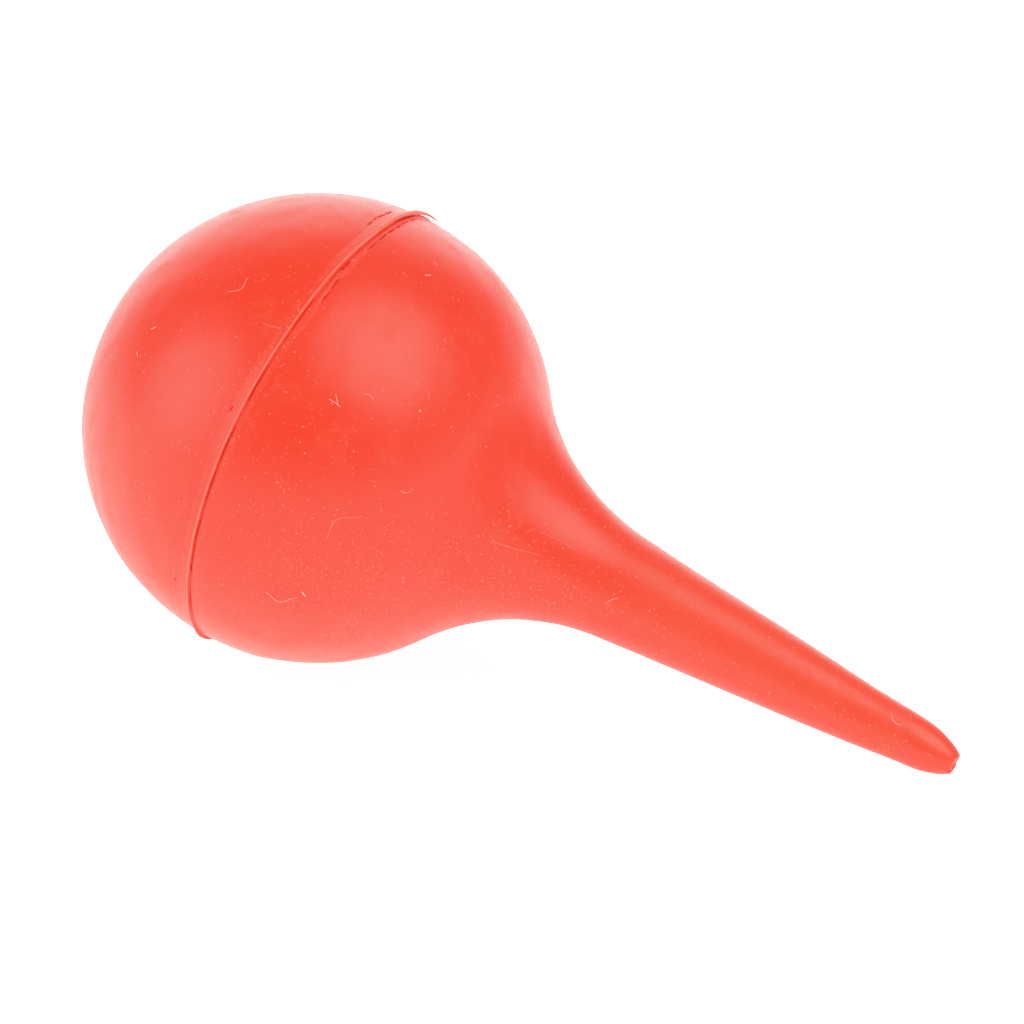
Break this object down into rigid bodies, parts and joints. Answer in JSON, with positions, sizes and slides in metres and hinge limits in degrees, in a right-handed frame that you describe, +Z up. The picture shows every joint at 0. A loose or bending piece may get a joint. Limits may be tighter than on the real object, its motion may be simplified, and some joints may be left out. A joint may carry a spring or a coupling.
{
  "type": "pipette filler bulb",
  "caption": "Soft rubber suction bulb: a hollow ball with a long tapered spout and a bored tip. Pressing the rear dome drives air out, and letting go draws liquid in.",
  "frame": {"origin": "on the surface that the bulb lies on, below the centre of its bounding box", "axes": "+X along the length of the lying bulb towards the spout's tip, +Z up from the surface, +Y across; the bulb's own axis dips 17.64 degrees below +X towards the tip"},
  "size_m": [0.1186, 0.0612, 0.0599],
  "materials": {
    "bulb_rubber": "satin",
    "flash_rubber": "matt torn edge"
  },
  "bodies": {
    "bulb": {"front_shell": "bulb_rubber", "neck": "bulb_rubber", "rear_wall": "bulb_rubber", "push_fold": "bulb_rubber", "parting_flash": "flash_rubber", "spout_bend": "bulb_rubber"},
    "thumb_pad": {"rear_pad": "bulb_rubber"},
    "tip": {"spout_tip": "bulb_rubber"}
  },
  "joints": [
    {"name": "rear_press", "type": "slide", "parent": "bulb", "child": "thumb_pad", "axis": [0.953, 0, -0.303], "range_m": [0, 0.022], "stiffness_N_per_m": 500, "deforming": ["push_fold"]},
    {"name": "spout_swing", "type": "hinge", "parent": "bulb", "child": "tip", "pos_m": [0.02878, 0, 0.01145], "axis": [0.303, 0, 0.953], "range_deg": [-25, 25], "stiffness_Nm_per_rad": 0.06, "deforming": ["spout_bend"]}
  ]
}
